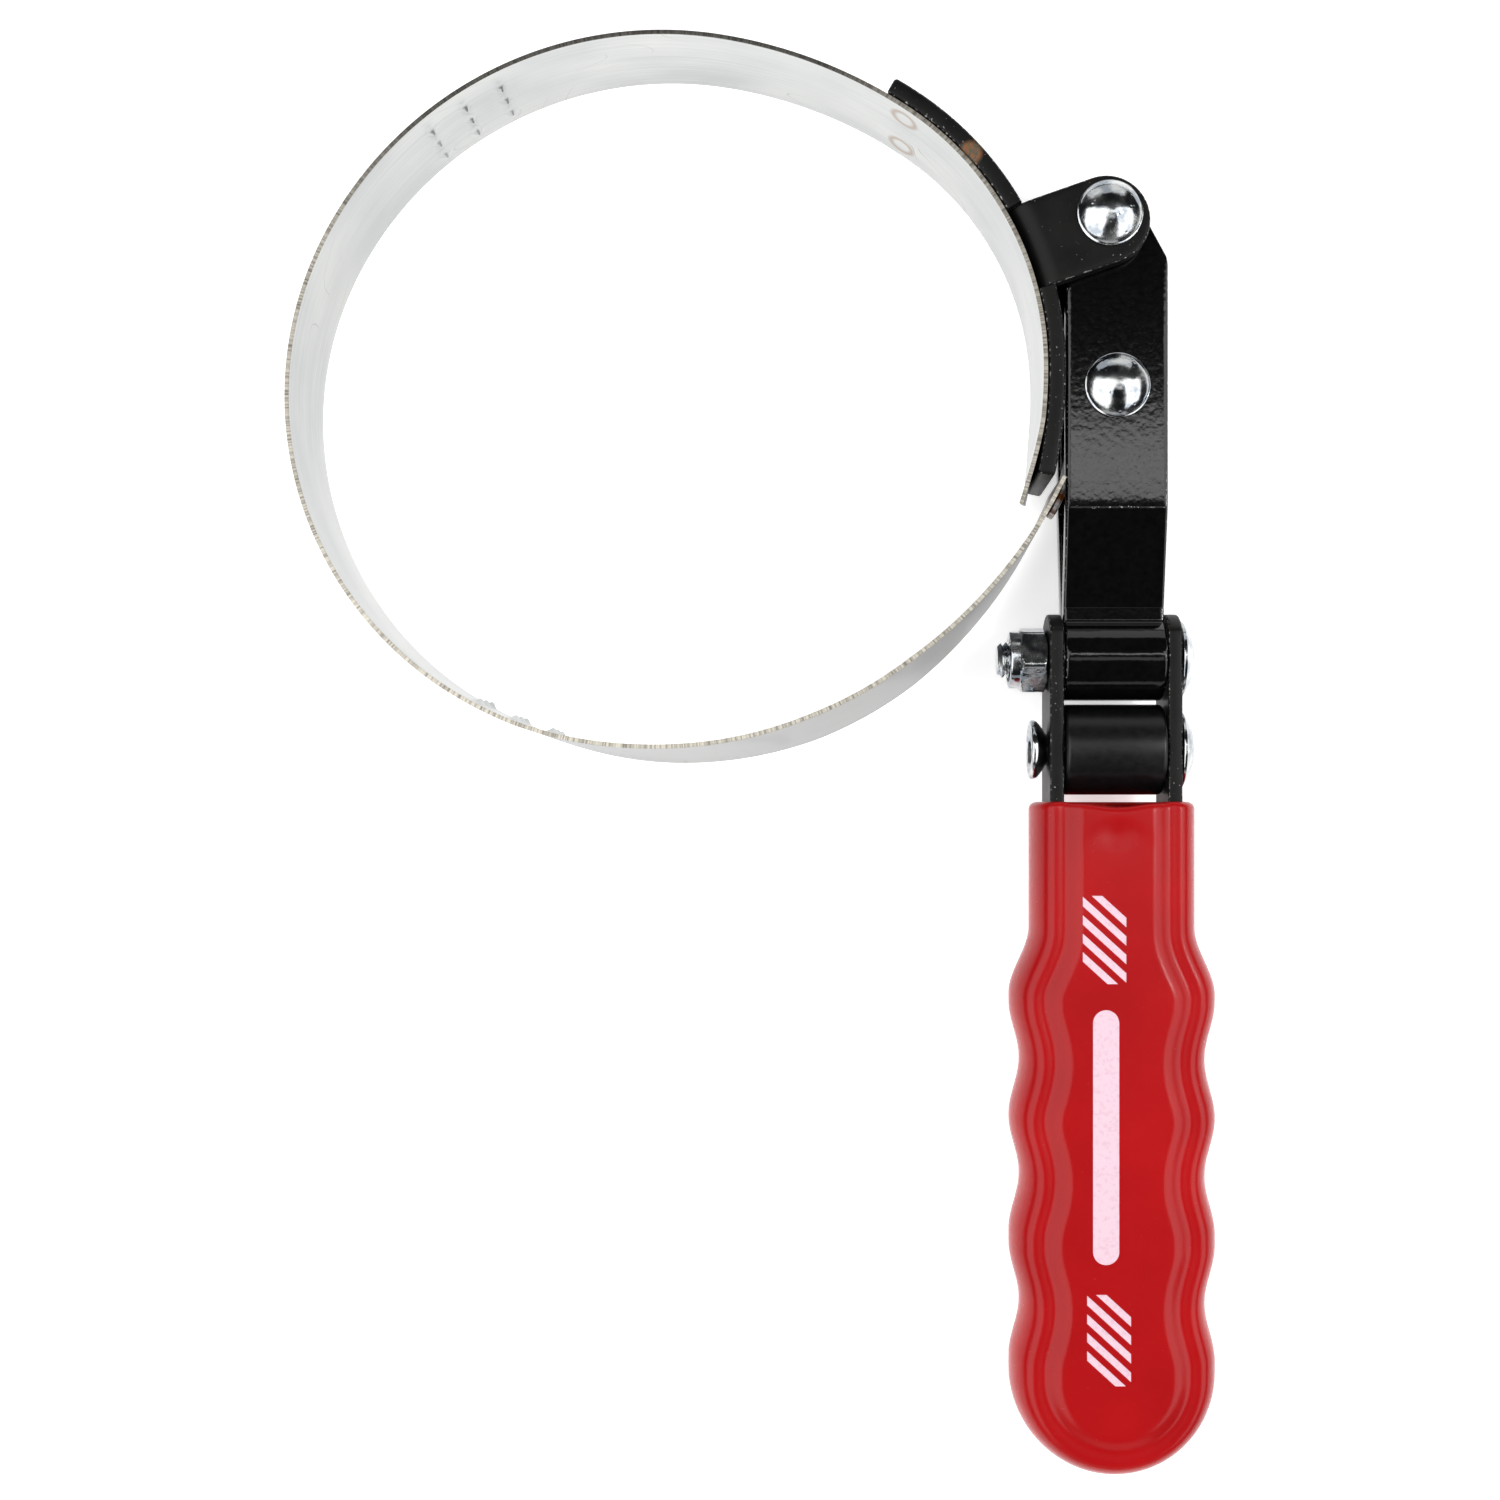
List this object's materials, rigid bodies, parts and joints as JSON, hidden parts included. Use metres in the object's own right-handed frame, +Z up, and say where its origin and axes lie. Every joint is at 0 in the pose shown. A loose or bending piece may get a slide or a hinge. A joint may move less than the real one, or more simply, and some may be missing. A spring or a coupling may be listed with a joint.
{
  "type": "oil filter wrench",
  "caption": "Strap-type oil filter wrench: a thin steel band loop with a welded bracket, a folded swinging arm, and a swivel handle with a dipped vinyl finger grip.",
  "frame": {"origin": "middle of the bottom of the object's box, with the wrench lying flat on its back", "axes": "+X to the handle's right side, along the swivel bolt towards its head; +Y from the grip to the band loop; +Z up, out of the front face"},
  "size_m": [0.1506, 0.2338, 0.0255],
  "materials": {
    "stainless_band": "satin rolled stainless strip",
    "black_steel": "satin black oxide steel",
    "gloss_black_paint": "gloss black paint with slight orange peel",
    "zinc_plate": "bright zinc plate",
    "nylon_ring": "moulded nylon",
    "black_plastic": "satin moulded plastic",
    "red_vinyl": "gloss dipped vinyl"
  },
  "bodies": {
    "bracket": {"saddle_bracket": "black_steel", "pivot_rivet": "zinc_plate", "band_clamped_end": "stainless_band"},
    "band_01": {"band_segment_01": "stainless_band"},
    "band_02": {"band_segment_02": "stainless_band"},
    "band_03": {"band_segment_03": "stainless_band"},
    "band_04": {"band_segment_04": "stainless_band"},
    "band_05": {"band_segment_05": "stainless_band"},
    "band_06": {"band_segment_06": "stainless_band"},
    "band_07": {"band_segment_07": "stainless_band"},
    "band_08": {"band_segment_08": "stainless_band"},
    "band_09": {"band_segment_09": "stainless_band"},
    "band_10": {"band_segment_10": "stainless_band", "band_link_eye": "stainless_band"},
    "arm": {"folded_arm": "gloss_black_paint", "link_rivet": "zinc_plate"},
    "handle": {"yoke": "black_steel", "swivel_bolt": "zinc_plate", "lock_nut": "zinc_plate", "nut_locking_ring": "nylon_ring", "cross_rivet": "zinc_plate", "grip": "red_vinyl"},
    "spacer": {"spacer_sleeve": "black_plastic"}
  },
  "joints": [
    {"name": "arm_swing", "type": "hinge", "parent": "bracket", "child": "arm", "pos_m": [0.05667, 0.08754, 0.01275], "axis": [0, 0, 1], "range_deg": [0, 60]},
    {"name": "handle_swivel", "type": "hinge", "parent": "arm", "child": "handle", "pos_m": [0.05837, 0.01694, 0.01275], "axis": [1, 0, 0], "range_deg": [-90, 90]},
    {"name": "spacer_spin", "type": "hinge", "parent": "handle", "child": "spacer", "pos_m": [0.05837, 0.00214, 0.01275], "axis": [1, 0, 0], "continuous": true},
    {"name": "band_flex_01", "type": "hinge", "parent": "bracket", "child": "band_01", "pos_m": [0.01308, 0.11036, 0.01275], "axis": [0, 0, 1], "range_deg": [0, 8.8]},
    {"name": "band_flex_02", "type": "hinge", "parent": "band_01", "child": "band_02", "pos_m": [-0.01723, 0.1165, 0.01275], "axis": [0, 0, 1], "range_deg": [0, 7.2]},
    {"name": "band_flex_03", "type": "hinge", "parent": "band_02", "child": "band_03", "pos_m": [-0.04674, 0.10754, 0.01275], "axis": [0, 0, 1], "range_deg": [0, 5.2]},
    {"name": "band_flex_04", "type": "hinge", "parent": "band_03", "child": "band_04", "pos_m": [-0.068, 0.08521, 0.01275], "axis": [0, 0, 1], "range_deg": [0, 1.9]},
    {"name": "band_flex_05", "type": "hinge", "parent": "band_04", "child": "band_05", "pos_m": [-0.07484, 0.0552, 0.01275], "axis": [0, 0, 1], "range_deg": [-2.2, 0]},
    {"name": "band_flex_06", "type": "hinge", "parent": "band_05", "child": "band_06", "pos_m": [-0.06467, 0.02616, 0.01275], "axis": [0, 0, 1], "range_deg": [-4.7, 0]},
    {"name": "band_flex_07", "type": "hinge", "parent": "band_06", "child": "band_07", "pos_m": [-0.04064, 0.00691, 0.01275], "axis": [0, 0, 1], "range_deg": [-4.1, 0]},
    {"name": "band_flex_08", "type": "hinge", "parent": "band_07", "child": "band_08", "pos_m": [-0.01022, 0.00156, 0.01275], "axis": [0, 0, 1], "range_deg": [-1, 0]},
    {"name": "band_flex_09", "type": "hinge", "parent": "band_08", "child": "band_09", "pos_m": [0.01926, 0.01078, 0.01275], "axis": [0, 0, 1], "range_deg": [0, 1.8]},
    {"name": "band_flex_10", "type": "hinge", "parent": "band_09", "child": "band_10", "pos_m": [0.04181, 0.032, 0.01275], "axis": [0, 0, 1], "range_deg": [0, 2]}
  ],
  "couplings": [
    {"joint": "band_flex_01", "follows": "arm_swing", "ratio": 0.145},
    {"joint": "band_flex_02", "follows": "arm_swing", "ratio": 0.119},
    {"joint": "band_flex_03", "follows": "arm_swing", "ratio": 0.086},
    {"joint": "band_flex_04", "follows": "arm_swing", "ratio": 0.031},
    {"joint": "band_flex_05", "follows": "arm_swing", "ratio": -0.036},
    {"joint": "band_flex_06", "follows": "arm_swing", "ratio": -0.078},
    {"joint": "band_flex_07", "follows": "arm_swing", "ratio": -0.067},
    {"joint": "band_flex_08", "follows": "arm_swing", "ratio": -0.016},
    {"joint": "band_flex_09", "follows": "arm_swing", "ratio": 0.029},
    {"joint": "band_flex_10", "follows": "arm_swing", "ratio": 0.033}
  ]
}
